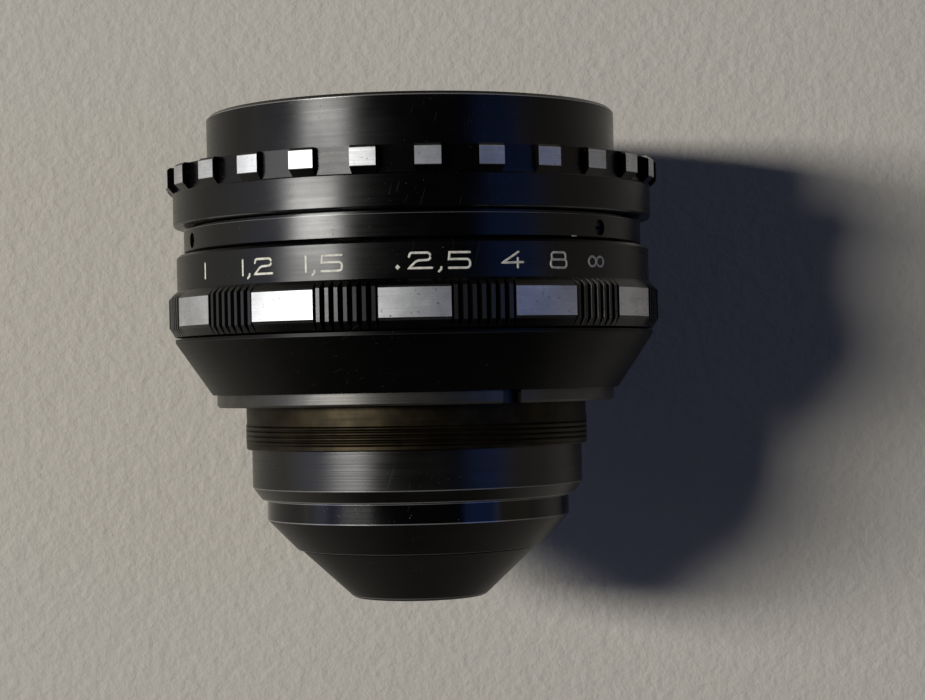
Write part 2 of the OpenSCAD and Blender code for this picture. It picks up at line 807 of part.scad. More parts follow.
module blade_1() { blade(0); }
module blade_2() { blade(1); }
module blade_3() { blade(2); }
module blade_4() { blade(3); }
module blade_5() { blade(4); }
module blade_6() { blade(5); }
module blade_7() { blade(6); }
module blade_8() { blade(7); }

function turn_point(p, a) = [p[0] * cos(a) - p[1] * sin(a), p[0] * sin(a) + p[1] * cos(a)];

// Where a blade's drive pin lies in the cam ring when the blade has swung by an angle.
function cam_point(swing) =
    let (pivot = [pivot_r, 0], pin = pivot + turn_point(drive_pin_at - pivot, swing))
        turn_point(pin, -swing * iris_turn / blade_swing);

// The point at the side of the cam slot, square to the pin's path.
function cam_side(swing, side) =
    let (d = cam_point(swing + 0.5) - cam_point(swing - 0.5))
        cam_point(swing) + side * (blade_pin_d / 2 + pin_fit) * [-d[1], d[0]] / norm(d);

// One curved slot of the cam ring. Its shape makes the blade swing in proportion to
// the turn of the ring.
module cam_slot() {
    first = -slot_spare;
    last = blade_swing + slot_spare;
    swings = [for (i = [0 : slot_steps]) first + (last - first) * i / slot_steps];
    one_side = [for (b = swings) cam_side(b, 1)];
    other_side = [for (i = [slot_steps : -1 : 0]) cam_side(swings[i], -1)];
    translate([0, 0, cam_z - 1]) {
        linear_extrude(height = cam_t + 2) polygon(concat(one_side, other_side));
        for (b = [first, last])
            translate(cam_point(b)) cylinder(d = blade_pin_d + 2 * pin_fit, h = cam_t + 2);
    }
}

module iris_cam() {
    outer_r = chamber_d / 2 - run_fit;
    color("goldenrod") along_axis() difference() {
        turned([
            [open_r + 0.3, cam_z],
            [outer_r, cam_z],
            [outer_r, cam_front_z],
            [outer_r - cam_wall_t, cam_front_z],
            [outer_r - cam_wall_t, cam_z + cam_t],
            [open_r + 0.3, cam_z + cam_t]]);
        for (i = [0 : blade_count - 1])
            rotate([0, 0, i * 360 / blade_count]) cam_slot();
        radial_rod(drive_pin_d, 1, chamber_d, drive_z, drive_angle);
    }
}

module iris_ring() {
    bore_r = housing_d / 2 + run_fit;
    edge = 0.15;
    chamfer = 0.7;
    gap = 360 / tooth_count - tooth_angle;
    gap_w = 2 * (tooth_d / 2 - gap_depth / 2) * sin(gap / 2);
    color([0.1, 0.1, 0.11]) along_axis() difference() {
        turned([
            [bore_r, band_z],
            [band_d / 2 - edge, band_z],
            [band_d / 2, band_z + edge],
            [band_d / 2, tooth_rear_z - 0.1],
            [tooth_d / 2, tooth_rear_z + chamfer - 0.1],
            [tooth_d / 2, tooth_front_z - 0.25],
            [tooth_d / 2 - 0.25, tooth_front_z],
            [bore_r, tooth_front_z]]);
        for (i = [0 : tooth_count - 1])
            at_angle((i + 0.5) * 360 / tooth_count + tooth_phase)
                translate([-gap_w / 2, tooth_d / 2 - gap_depth, tooth_rear_z])
                    cube([gap_w, 5, 5]);
        radial_rod(drive_pin_d, housing_d / 4, housing_d / 2 + drive_pin_grip, drive_z, drive_angle);
    }
}

module iris_drive_pin() {
    color("silver") along_axis()
        radial_rod(drive_pin_d, chamber_d / 2 - run_fit - cam_wall_t, housing_d / 2 + drive_pin_grip,
            drive_z, drive_angle);
}

module rear_cell() {
    inner_r = inner_glass_d / 2;
    seat_r = rear_glass_d / 2;
    color([0.07, 0.07, 0.08]) along_axis() turned([
        [inner_r - inner_lip_w, inner_seat_z - 1],
        [inner_r - inner_lip_w, rear_seat_z + 0.8],
        [rear_lip_r, rear_seat_z + 0.8],
        [rear_lip_r, rear_seat_z],
        [seat_r, rear_seat_z],
        [seat_r, cell_spigot_z],
        [cell_spigot_r, cell_spigot_z],
        [cell_spigot_r, cell_rear_z],
        [cone_mid_d / 2 + 0.25, cell_rear_z],
        [barrel_d / 2, barrel_rear_z],
        [tube_bore_d / 2, barrel_rear_z],
        [tube_bore_d / 2, barrel_rear_z + cell_thread_len],
        [shoulder_bore_d / 2, barrel_rear_z + cell_thread_len],
        [shoulder_bore_d / 2, chamber_rear_z - seat_gap],
        [inner_r, chamber_rear_z - seat_gap],
        [inner_r, inner_seat_z],
        [inner_r - inner_lip_w, inner_seat_z]]);
}

module doublet_front() {
    color("lightsteelblue") along_axis()
        element(inner_glass_d, doublet_joint_z, doublet_front_z, doublet_bend, doublet_outer_bend);
}

module doublet_rear() {
    color("lightsteelblue") along_axis()
        element(inner_glass_d, doublet_rear_z, doublet_joint_z, doublet_outer_bend, -doublet_bend);
}

module inner_spacer() {
    r = inner_glass_d / 2;
    hole_r = r - inner_lip_w;
    color([0.06, 0.06, 0.07]) along_axis()
        ring(2 * r, 2 * hole_r, inner_front_z - sag(inner_bend, hole_r) + seat_gap,
            doublet_rear_z + sag(doublet_outer_bend, hole_r) - seat_gap);
}

module inner_element() {
    color("lightsteelblue") along_axis()
        element(inner_glass_d, inner_rear_z, inner_front_z, inner_bend, inner_bend);
}

module rear_element() {
    color("lightsteelblue") along_axis()
        element(rear_glass_d, rear_vertex_z, rear_vertex_z + rear_glass_t, rear_bend_b, rear_bend_a);
}

module rear_cap() {
    lip_z = rear_vertex_z + sag(rear_bend_b, rear_open_d / 2) - seat_gap;
    round_r = 0.9;
    color([0.07, 0.07, 0.08]) along_axis() turned(concat(
        [[rear_open_d / 2, rear_z + 0.3],
        [rear_open_d / 2 + 0.3, rear_z]],
        [for (a = [0 : 15 : 45])
            [rear_rim_d / 2 - 0.35 + round_r * sin(a), rear_z + round_r * (1 - cos(a))]],
        [[cone_mid_d / 2 - 0.15, cell_rear_z - 0.12],
        [cone_mid_d / 2 - 0.35, cell_rear_z],
        [cell_spigot_r, cell_rear_z],
        [cell_spigot_r, cell_spigot_z - 0.02],
        [rear_glass_d / 2, cell_spigot_z - 0.02],
        [rear_glass_d / 2, lip_z],
        [rear_open_d / 2, lip_z]]));
}

mount_tube();
flange_ring();
body_tube();
body_skirt();
rear_guard();
helicoid_retainer();
guide_pin();
focus_stop_pin();
focus_ring();
helicoid_sleeve();
helicoid_screws();
lens_barrel();
index_sleeve();
sleeve_screws();
front_barrel();
front_trim_ring();
front_element();
second_cell();
second_element();
second_retainer();
iris_housing();
doublet_front();
doublet_rear();
inner_spacer();
inner_element();
rear_cell();
rear_element();
rear_cap();
iris_ring();
iris_cam();
iris_drive_pin();
blade_1();
blade_2();
blade_3();
blade_4();
blade_5();
blade_6();
blade_7();
blade_8();
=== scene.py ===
# Small wide-angle cine lens lying on its two grip rings. The lens axis runs along Y
# with the front towards -Y, the flange seat is the origin, and sizes are in metres.
import math

import bmesh
import bpy
from mathutils import Matrix, Vector


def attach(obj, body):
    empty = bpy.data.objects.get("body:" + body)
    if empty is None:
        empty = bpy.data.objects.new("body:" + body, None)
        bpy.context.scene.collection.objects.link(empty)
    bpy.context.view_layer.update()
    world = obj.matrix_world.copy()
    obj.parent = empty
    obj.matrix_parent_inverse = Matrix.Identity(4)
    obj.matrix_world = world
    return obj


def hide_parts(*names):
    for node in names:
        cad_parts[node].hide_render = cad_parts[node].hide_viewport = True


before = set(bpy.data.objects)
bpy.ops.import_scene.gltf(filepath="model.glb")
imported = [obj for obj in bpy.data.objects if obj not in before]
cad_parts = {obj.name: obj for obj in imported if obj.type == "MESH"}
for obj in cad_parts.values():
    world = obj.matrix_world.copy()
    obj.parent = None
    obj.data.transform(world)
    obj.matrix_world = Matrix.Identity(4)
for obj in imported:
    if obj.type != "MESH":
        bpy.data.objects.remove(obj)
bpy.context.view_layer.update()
MM = 0.001

# --- Camera ---------------------------------------------------------------------------
# A hand-held view from straight above the lens as it lies on the table, centred a little
# ahead of the flange and turned by a little over a degree.
CAMERA_AT = Vector((-4.41, -2.24, 208.9)) * MM
CAMERA_TILT = 0.0125
CAMERA_ROLL = math.radians(1.28)
camera_data = bpy.data.cameras.new("view_from_above")
camera_data.lens = 87.5
camera_data.sensor_width = 36
camera_data.clip_start = 0.01
camera = bpy.data.objects.new("view_from_above", camera_data)
bpy.context.scene.collection.objects.link(camera)
backwards = Vector((0, CAMERA_TILT, 1)).normalized()
right = Vector((-math.cos(CAMERA_ROLL), math.sin(CAMERA_ROLL), 0))
right = (right - backwards * right.dot(backwards)).normalized()
turn = Matrix((right, backwards.cross(right), backwards)).transposed()
camera.matrix_world = Matrix.Translation(CAMERA_AT) @ turn.to_4x4()
bpy.context.scene.camera = camera

# --- Table and light ------------------------------------------------------------------
# A plain pale table top under the rings. One soft lamp high on the left gives the streak,
# dim blue windows stand on both sides, pale walls lie lower, and overhead it is dark.
TABLE_Z = -22.72 * MM
TABLE_SIZE = 1.6


class Wire:
    """One output socket of a finish. Arithmetic on it adds Math nodes."""

    def __init__(self, finish, socket):
        self.finish, self.socket = finish, socket

    def calc(self, operation, *terms):
        return self.finish.add("ShaderNodeMath", {"operation": operation}, dict(enumerate(terms)))

    def __add__(self, other):
        return self.calc("ADD", self, other)

    def __sub__(self, other):
        return self.calc("SUBTRACT", self, other)

    def __rsub__(self, other):
        return self.calc("SUBTRACT", other, self)

    def __mul__(self, other):
        return self.calc("MULTIPLY", self, other)

    def __gt__(self, other):
        return self.calc("GREATER_THAN", self, other)

    def __lt__(self, other):
        return self.calc("LESS_THAN", self, other)

    def __abs__(self):
        return self.calc("ABSOLUTE", self)

    def root(self):
        return self.calc("SQRT", self)

    def above(self, other):
        return self.calc("MAXIMUM", self, other)

    def step(self, low, high):
        """Rises smoothly from 0 to 1 as the value goes from low to high."""
        return self.finish.add("ShaderNodeMapRange", {"interpolation_type": "SMOOTHSTEP"},
                               {"Value": self, "From Min": low, "From Max": high})

    __radd__ = __add__
    __rmul__ = __mul__


class Finish:
    """A material being built, with the positions on the lens that its patterns use."""

    def __init__(self, name):
        self.material = bpy.data.materials.new(name)
        self.material.use_nodes = True
        self.tree = self.material.node_tree
        self.shader = self.tree.nodes["Principled BSDF"]
        self.place = self.add("ShaderNodeTexCoord", output="Object")
        self.x, self.y, self.z = (self.add("ShaderNodeSeparateXYZ", {}, {0: self.place}, axis)
                                  for axis in "XYZ")

    def add(self, kind, settings=None, sockets=None, output=0):
        """Adds a node, with its settings and its sockets' values, and gives one output."""
        node = self.tree.nodes.new(kind)
        for name, value in (settings or {}).items():
            setattr(node, name, value)
        for name, value in (sockets or {}).items():
            if isinstance(value, Wire):
                self.tree.links.new(value.socket, node.inputs[name])
            else:
                node.inputs[name].default_value = value
        return Wire(self, node.outputs[output])

    def noise(self, scale, detail=3, place=None, rough=0.55):
        return self.add("ShaderNodeTexNoise", {}, {"Vector": place or self.place, "Scale": scale,
                                                   "Detail": detail, "Roughness": rough})

    def blend(self, mask, first, second):
        return self.add("ShaderNodeMix", {"data_type": "RGBA"}, {0: mask, 6: first, 7: second}, 2)

    def shade(self, **sockets):
        for name, value in sockets.items():
            socket = self.shader.inputs[name.replace("_", " ")]
            if isinstance(value, Wire):
                self.tree.links.new(value.socket, socket)
            else:
                socket.default_value = value
        return self.material

    def bump(self, height, distance, strength=1.0):
        return self.add("ShaderNodeBump", {}, {"Height": height, "Distance": distance,
                                               "Strength": strength})


cloth = Finish("table_cloth")
weave = cloth.noise(900, 4)
cloth_wear = cloth.noise(14, 3)
cloth_tone = cloth.blend(weave * 0.35 + cloth_wear * 0.5,
                         (0.52, 0.49, 0.43, 1), (0.66, 0.625, 0.55, 1))
cloth.shade(Base_Color=cloth_tone, Roughness=0.95, Normal=cloth.bump(weave, 0.0004, 0.5))
table_mesh = bpy.data.meshes.new("table")
half = TABLE_SIZE / 2
table_mesh.from_pydata([(x, y, TABLE_Z) for x, y in
                        ((-half, -half), (half, -half), (half, half), (-half, half))], [],
                       [(0, 1, 2, 3)])
table_mesh.materials.append(cloth.material)
table = bpy.data.objects.new("table", table_mesh)
bpy.context.scene.collection.objects.link(table)

# The angle is from straight above, positive to the left of the view. Metres and watts.
for lamp_name, angle, towards_front, distance, width, length, power, colour in (
        ("left_lamp", 46, 0.10, 1.20, 0.16, 0.52, 12.5, (1.0, 0.985, 0.95)),
        ("left_wall", 86, 0.0, 0.70, 0.30, 0.40, 0.30, (0.96, 0.98, 1.0)),
        ("left_window", 68, 0.0, 0.60, 0.12, 0.30, 0.11, (0.45, 0.5, 1.0)),
        ("right_window", -49, 0.0, 0.60, 0.20, 0.30, 0.19, (0.12, 0.30, 1.0)),
        ("right_wall", -78, 0.0, 0.60, 0.22, 0.40, 0.10, (1.0, 0.86, 0.68))):
    lamp_data = bpy.data.lights.new(lamp_name, "AREA")
    lamp_data.shape = "RECTANGLE"
    lamp_data.size, lamp_data.size_y = width, length
    lamp_data.energy = power
    lamp_data.color = colour
    lamp = bpy.data.objects.new(lamp_name, lamp_data)
    bpy.context.scene.collection.objects.link(lamp)
    from_lens = Vector((math.sin(math.radians(angle)), -towards_front,
                        math.cos(math.radians(angle)))).normalized()
    facing = from_lens.to_track_quat("Z", "Y").to_matrix().to_4x4()
    lamp.matrix_world = Matrix.Translation(from_lens * distance) @ facing

world = bpy.data.worlds.new("dim_room")
world.use_nodes = True
world.node_tree.nodes["Background"].inputs["Color"].default_value = (1.0, 0.92, 0.8, 1)
world.node_tree.nodes["Background"].inputs["Strength"].default_value = 0.016
bpy.context.scene.world = world
bpy.context.scene.view_settings.view_transform = "Standard"

# --- Brass mount tube -----------------------------------------------------------------
# The tube that screws into the camera: turned brass gone brown with age, a smooth neck
# behind the flange and five turns of a fine thread. It replaces the plain threaded tube.
TUBE_BORE_R, THREAD_R, NECK_R, TUBE_FRONT_R = 14.4, 16.0, 15.7, 15.6
THREAD_START, THREAD_END, THREAD_PITCH, THREAD_DEPTH = -1.4, -3.88, 0.45, 0.27
TUBE_FRONT, TUBE_REAR, NECK_REAR = 3.0, -3.9, -1.5
LEAD, SHOULDER, SEAT_GAP = 0.1, 0.12, 0.02
STEPS_AROUND = 160


def on_lens(radius, angle, height):
    """A place on the lens: radius and height in mm, the angle from the top to the right."""
    return (-radius * math.sin(angle) * MM, -height * MM, radius * math.cos(angle) * MM)


def turned_piece(name, outline):
    """A closed ring turned from (radius, height) points in millimetres."""
    shape = bmesh.new()
    rows = []
    for step in range(STEPS_AROUND):
        a = 2 * math.pi * step / STEPS_AROUND
        rows.append([shape.verts.new(on_lens(r, a, h)) for r, h in outline])
    for step in range(STEPS_AROUND):
        here, there = rows[step], rows[(step + 1) % STEPS_AROUND]
        for i in range(len(outline)):
            j = (i + 1) % len(outline)
            shape.faces.new((here[i], here[j], there[j], there[i]))
    bmesh.ops.recalc_face_normals(shape, faces=shape.faces)
    return add_piece(name, shape)


def add_piece(name, shape, sharp=math.radians(25)):
    """Makes an object of a bmesh, with smooth faces that keep their hard edges."""
    mesh = bpy.data.meshes.new(name)
    for face in shape.faces:
        face.smooth = True
    for edge in shape.edges:
        if len(edge.link_faces) == 2 and edge.calc_face_angle(0) > sharp:
            edge.smooth = False
    shape.to_mesh(mesh)
    shape.free()
    piece = bpy.data.objects.new(name, mesh)
    bpy.context.scene.collection.objects.link(piece)
    return piece


def carry(piece, body):
    """Fixes a new piece to a body of the lens."""
    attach(piece, body)


def finish_node(finish, *names):
    """Gives CAD nodes a finish in place of their plain colour."""
    for name in names:
        for material_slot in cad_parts[name].material_slots:
            material_slot.material = finish.material


def turned_lines(finish, along=3600, around=26):
    """Fine rings left by the lathe, on the sides and on the faces alike. It also gives the
    finish its radius, in metres, and its height ahead of the seat, in millimetres."""
    finish.radius = (finish.x * finish.x + finish.z * finish.z).root()
    finish.height = finish.y * -1000
    lathe = finish.add("ShaderNodeCombineXYZ", {}, {
        "X": finish.x * around, "Y": (finish.y - finish.radius * 1.3) * along,
        "Z": finish.z * around})
    return finish.noise(1.0, 4, lathe, 0.6)


brass = Finish("aged_brass")
brass_lines = turned_lines(brass)
brass_age = brass.noise(420, 4)
brass_tone = brass.blend(brass_age.step(0.3, 0.8), (0.012, 0.009, 0.0045, 1), (0.032, 0.024, 0.012, 1))
crest = (brass.radius * 1000).step(15.90, 15.985)
brass_tone = brass.blend(crest * 0.85, brass_tone, (0.50, 0.38, 0.15, 1))
brass.shade(Base_Color=brass_tone, Metallic=0.9,
            Roughness=0.40 - crest * 0.1 + brass_lines * 0.15,
            Normal=brass.bump(brass_lines, 0.00001))

THREAD_ROOT_R = THREAD_R - THREAD_DEPTH
mount_core = turned_piece("mount_tube_turned", [
    (TUBE_BORE_R, TUBE_FRONT), (TUBE_BORE_R, TUBE_REAR), (THREAD_ROOT_R - LEAD, TUBE_REAR),
    (THREAD_ROOT_R, TUBE_REAR + LEAD), (THREAD_ROOT_R, NECK_REAR - SHOULDER),
    (NECK_R, NECK_REAR), (NECK_R, -SEAT_GAP),
    (TUBE_FRONT_R - SEAT_GAP, -SEAT_GAP), (TUBE_FRONT_R - SEAT_GAP, TUBE_FRONT)])


# The ridge's half widths at foot and crest as shares of the pitch, and how far its foot
# sinks into the tube as a share of the depth.
FOOT_SHARE, CREST_SHARE, SINK_SHARE = 0.47, 0.07, 0.12
STEPS_PER_TURN = 120


def thread_tree():
    """Geometry Nodes: one V-shaped ridge swept along a helix, start and end closed."""
    tree = bpy.data.node_groups.new("thread_turns", "GeometryNodeTree")
    inputs = {name: tree.interface.new_socket(name, in_out="INPUT", socket_type=kind).identifier
              for name, kind in (("Radius", "NodeSocketFloat"), ("Pitch", "NodeSocketFloat"),
                                 ("Turns", "NodeSocketFloat"), ("Depth", "NodeSocketFloat"),
                                 ("Metal", "NodeSocketMaterial"))}
    tree.interface.new_socket("Mesh", in_out="OUTPUT", socket_type="NodeSocketGeometry")
    given = tree.nodes.new("NodeGroupInput").outputs

    def node(kind, sockets, **settings):
        made = tree.nodes.new(kind)
        for key, value in settings.items():
            setattr(made, key, value)
        for key, value in sockets.items():
            if isinstance(value, bpy.types.NodeSocket):
                tree.links.new(value, made.inputs[key])
            else:
                made.inputs[key].default_value = value
        return made.outputs[0] if made.outputs else None

    def times(first, second):
        return node("ShaderNodeMath", {0: first, 1: second}, operation="MULTIPLY")

    def point(across, along):
        return node("ShaderNodeCombineXYZ", {"X": across, "Y": along})

    helix = node("GeometryNodeCurveSpiral", {
        "Resolution": STEPS_PER_TURN, "Rotations": given["Turns"],
        "Height": times(given["Pitch"], given["Turns"]),
        "Start Radius": given["Radius"], "End Radius": given["Radius"]})
    upright = node("GeometryNodeSetCurveNormal", {"Curve": helix}, mode="Z_UP")
    depth, pitch = given["Depth"], given["Pitch"]
    foot = times(depth, -SINK_SHARE)
    ridge = node("GeometryNodeCurvePrimitiveQuadrilateral", {
        "Point 1": point(foot, times(pitch, -FOOT_SHARE)),
        "Point 2": point(depth, times(pitch, -CREST_SHARE)),
        "Point 3": point(depth, times(pitch, CREST_SHARE)),
        "Point 4": point(foot, times(pitch, FOOT_SHARE))}, mode="POINTS")
    swept = node("GeometryNodeCurveToMesh", {"Curve": upright, "Profile Curve": ridge,
                                             "Fill Caps": True})
    laid = node("GeometryNodeTransform", {"Geometry": swept,
                                          "Rotation": (math.radians(90), 0, 0)})
    whole = node("GeometryNodeRealizeInstances", {"Geometry": laid})
    node("NodeGroupOutput", {0: node("GeometryNodeSetMaterial", {
        "Geometry": whole, "Material": given["Metal"]})})
    return tree, inputs


THREAD_TREE = thread_tree()


def thread_ridge(name, radius, depth, low, high, pitch, metal):
    """The turns of a thread between two heights, as a plain mesh on the lens axis."""
    holder = bpy.data.objects.new(name, bpy.data.meshes.new(name))
    bpy.context.scene.collection.objects.link(holder)
    turns = holder.modifiers.new("turns", "NODES")
    turns.node_group, inputs = THREAD_TREE
    for label, value in (("Radius", radius * MM), ("Pitch", pitch * MM), ("Depth", depth * MM),
                         ("Turns", (high - low) / pitch - 1), ("Metal", metal)):
        turns[inputs[label]] = value
    made = bpy.data.meshes.new_from_object(
        holder.evaluated_get(bpy.context.evaluated_depsgraph_get()))
    holder.modifiers.clear()
    holder.data = made
    shape = bmesh.new()
    shape.from_mesh(made)
    bmesh.ops.translate(shape, verts=shape.verts, vec=(0, -(low + pitch / 2) * MM, 0))
    bmesh.ops.remove_doubles(shape, verts=shape.verts, dist=1e-8)
    bmesh.ops.recalc_face_normals(shape, faces=shape.faces)
    shape.to_mesh(made)
    shape.free()
    return holder


mount_turns = thread_ridge("mount_thread_turns", THREAD_ROOT_R, THREAD_DEPTH, THREAD_END,
                           THREAD_START, THREAD_PITCH, brass.material)
mount_core.data.materials.append(brass.material)
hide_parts("mount_tube")
carry(mount_core, "mount_body")
carry(mount_turns, "mount_body")

# --- Flange ring ----------------------------------------------------------------------
# The seat that meets the camera: an aluminium ring whose dark coat has worn to grey on
# its rear face and bright along its edge, with one notch for the camera's key.
flange = Finish("worn_flange")
flange_lines = turned_lines(flange, 5200)
flange_wear = flange.noise(260, 5)
flange_rim = (flange.radius * 1000).step(18.15, 18.34) * 0.6 + flange_wear.step(0.45, 0.7) * 0.4
flange_tone = flange.blend(flange_lines, (0.010, 0.0095, 0.0085, 1), (0.034, 0.032, 0.030, 1))
flange_tone = flange.blend(flange_rim * 0.3, flange_tone, (0.20, 0.195, 0.18, 1))
flange.shade(Base_Color=flange_tone, Metallic=0.75, Roughness=0.30 + flange_lines * 0.16,
             Normal=flange.bump(flange_lines, 0.000012))
finish_node(flange, "flange_ring")

# --- Body tube, conical skirt and rear guard ------------------------------------------
# The fixed body: black anodised aluminium turned in one setting, a skirt that fairs the
# mount into the focusing ring, and a greyer guard tube that covers the rear of the barrel.


def black_anodised(name, tone, gloss, fade=0.12, lines=0.5, dust=0.25, shine=0.24):
    """Black anodised aluminium: lathe rings, rubbed patches, dust and hair scratches."""
    made = Finish(name)
    rings = turned_lines(made)
    rubbed = made.noise(110, 4)
    specks = made.noise(5200, 2).step(0.70, 0.78) * made.noise(300, 2).step(0.42, 0.62)
    scratch_place = made.add("ShaderNodeVectorRotate", {"rotation_type": "EULER_XYZ"}, {
        "Vector": made.place, "Rotation": (0.4, 0.9, 0.5)})
    stretched = made.add("ShaderNodeMapping", {}, {"Vector": scratch_place,
                                                   "Scale": (9000, 260, 260)})
    scratch = made.noise(1.0, 1, stretched).step(0.735, 0.765)
    deep = tuple(c * 0.55 for c in tone) + (1,)
    pale = tuple(c * 1.6 + 0.0006 for c in tone) + (1,)
    colour = made.blend(rubbed.step(0.3, 0.75), deep, pale)
    colour = made.blend(specks * dust, colour, (0.32, 0.31, 0.29, 1))
    colour = made.blend(scratch * fade, colour, (0.10, 0.10, 0.10, 1))
    roughness = (gloss + (rings - 0.5) * 0.22 * lines + (rubbed - 0.5) * 0.30 + specks * 0.3)
    height = rings * lines + rubbed * 0.2 + specks * 0.8
    made.shade(Roughness=roughness, Normal=made.bump(height, 0.000009))
    made.shader.inputs["Specular IOR Level"].default_value = shine
    made.colour, made.rings, made.rubbed = colour, rings, rubbed
    return made


def edge_wear_and_glint(made, mask, strength=0.8, tone=(0.62, 0.62, 0.60, 1)):
    """Shows bright metal where the coat has gone, most of all in the rubbed patches. On the rear cones
    the same bright line is a painted highlight where a glint falls.
    """
    bright_wear_and_glint = mask * (0.35 + made.rubbed * 0.65) * strength
    made.shade(Base_Color=made.blend(bright_wear_and_glint, made.colour, tone), Metallic=bright_wear_and_glint)
    return made


def corner_line(made, height, reach=0.05):
    """The narrow band along one turned corner, as a mask."""
    return abs(made.height - height) < reach


SKIRT_CORNER, GUARD_FRONT_CORNER, GUARD_REAR_CORNER = 6.02, -7.4, -8.46
skirt = black_anodised("skirt_black", (0.0010, 0.0010, 0.0009), 0.36, shine=0.12)
edge_wear_and_glint(skirt, corner_line(skirt, SKIRT_CORNER, 0.035), 0.03)
finish_node(skirt, "body_skirt", "body_tube")

guard = black_anodised("guard_satin", (0.0045, 0.0042, 0.0036), 0.32, lines=0.9, shine=0.36)
guard_edge = corner_line(guard, GUARD_FRONT_CORNER).above(
    corner_line(guard, GUARD_REAR_CORNER, 0.06))
edge_wear_and_glint(guard, guard_edge, 0.35)
finish_node(guard, "rear_guard")

# --- Helicoid inside the body ---------------------------------------------------------
# The brass sleeve that turns with the focusing ring, the spanner ring that holds it, and
# the steel pins and screws. They show only when the lens is taken apart.
steel = Finish("bright_steel")
steel_lines = turned_lines(steel, 3000, 400)
steel.shade(Base_Color=steel.blend(steel_lines, (0.34, 0.34, 0.35, 1), (0.58, 0.58, 0.60, 1)),
            Metallic=1.0, Roughness=0.26 + steel_lines * 0.18,
            Normal=steel.bump(steel_lines, 0.000006))
finish_node(brass, "helicoid_retainer", "helicoid_sleeve", "iris_cam")
finish_node(steel, "guide_pin", "focus_stop_pin", "helicoid_screws", "iris_drive_pin")

# --- Focusing ring --------------------------------------------------------------------
# Turned in one piece and anodised black; the twelve lands were then skimmed to bare
# aluminium, with seven knurled ridges between each two, and the scale was engraved.
LAND_R, RIDGE_R, LAND_REAR, LAND_FRONT = 22.6, 22.48, 7.4, 9.9


def skimmed(made, mask, edge_wear_and_sheen):
    """Bare turned aluminium inside the mask, with smears. The second mask turns dull grey metal: worn
    coat on the iris band, painted sheen on the knurl ridges.
    """
    smear = made.noise(240, 5, rough=0.65)
    fine = made.noise(1.0, 4, made.add("ShaderNodeCombineXYZ", {}, {
        "X": made.x * 160, "Y": made.y * 15000, "Z": made.z * 160}), 0.7)
    pits = made.noise(3400, 2).step(0.66, 0.72)
    metal = made.blend(smear.step(0.3, 0.7), (0.52, 0.525, 0.53, 1), (0.74, 0.75, 0.76, 1))
    metal = made.blend(fine.step(0.35, 0.65) * 0.35, metal, (0.36, 0.37, 0.38, 1))
    metal = made.blend(pits * 0.7, metal, (0.10, 0.09, 0.08, 1))
    colour = made.blend(mask, made.blend(edge_wear_and_sheen, made.colour, (0.42, 0.42, 0.42, 1)), metal)
    soft = 0.40 + fine * 0.16 + smear * 0.12
    dull = made.shader.inputs["Roughness"].links[0].from_socket
    roughness = made.add("ShaderNodeMix", {"data_type": "FLOAT"}, {
        0: mask, 2: Wire(made, dull), 3: soft})
    made.shade(Base_Color=colour, Metallic=mask.above(edge_wear_and_sheen), Roughness=roughness,
               Normal=made.bump(made.rings * 0.5 + fine * mask * 0.9, 0.000009))
    return made


focus = black_anodised("focus_ring_black", (0.0014, 0.0014, 0.0014), 0.29)
focus_r = focus.radius * 1000
on_land = (focus_r > (LAND_R - 0.045)) * (focus.height > LAND_REAR) * (focus.height < LAND_FRONT)
# The knurl ridge tops are painted a touch paler and metallic: a painted sheen where the ridges catch
# light.
painted_ridge_sheen = focus_r.step(RIDGE_R - 0.06, RIDGE_R) * (focus_r < (LAND_R - 0.05)) * 0.04
finish_node(skimmed(focus, on_land, painted_ridge_sheen), "focus_ring")

# --- Distance scale -------------------------------------------------------------------
# Engraved figures filled with cream paint, standing upright when the front is up, with a
# small infinity sign at the far end. Each stroke lies on the ring's surface.
SCALE_R, FIGURE_H, STROKE_W, PAINT_RISE, BASE_LINE = 21.8, 1.30, 0.19, 0.02, 11.46
FIGURE_GAP, PATH_STEP = 0.41, 0.12
paint = Finish("cream_paint")
paint_worn = paint.noise(2600, 3)
paint_tone = paint.blend(paint_worn.step(0.35, 0.75),
                         (0.78, 0.76, 0.66, 1), (0.50, 0.49, 0.42, 1))
paint.shade(Base_Color=paint_tone, Roughness=0.55 + paint_worn * 0.2,
            Normal=paint.bump(paint_worn, 0.00001))
# A figure is a list of strokes on a grid one unit high; a third number rounds a corner.
FIGURES = {
    "1": (0.02, [[(0.01, 0), (0.01, 1)]]),
    "2": (1.48, [[(0.02, 0.76), (0.10, 1, 0.12), (1.40, 1, 0.26), (1.40, 0.54, 0.24),
                  (0.50, 0.50, 0.22), (0.02, 0.02), (1.48, 0.02)]]),
    "4": (1.50, [[(1.14, 1), (0.02, 0.30), (1.48, 0.34)], [(1.10, 0.60), (1.10, 0)]]),
    "5": (1.44, [[(1.40, 1), (0.08, 1), (0.03, 0.56), (1.42, 0.56, 0.26), (1.42, 0, 0.26),
                  (0.02, 0)]]),
    "8": (1.34, [[(0.67, 1), (1.24, 1, 0.22), (1.24, 0.53, 0.18), (0.10, 0.53, 0.18),
                  (0.10, 1, 0.22), (0.67, 1)],
                 [(0.67, 0.53), (1.32, 0.53, 0.22), (1.32, 0, 0.24), (0.02, 0, 0.24),
                  (0.02, 0.53, 0.22), (0.67, 0.53)]]),
    ",": (0.26, [[(0.20, 0.05), (0.19, -0.08), (0.04, -0.22)]]),
    ".": (0.22, [[(0.04, 0.10), (0.11, 0.17), (0.18, 0.10), (0.11, 0.03), (0.04, 0.10)]]),
    "oo": (1.58, [[(0.79 + side * (0.40 + 0.37 * math.cos(a * math.pi / 8)),
                    0.46 + 0.33 * math.sin(a * math.pi / 8)) for a in range(17)]
                  for side in (-1, 1)]),
}
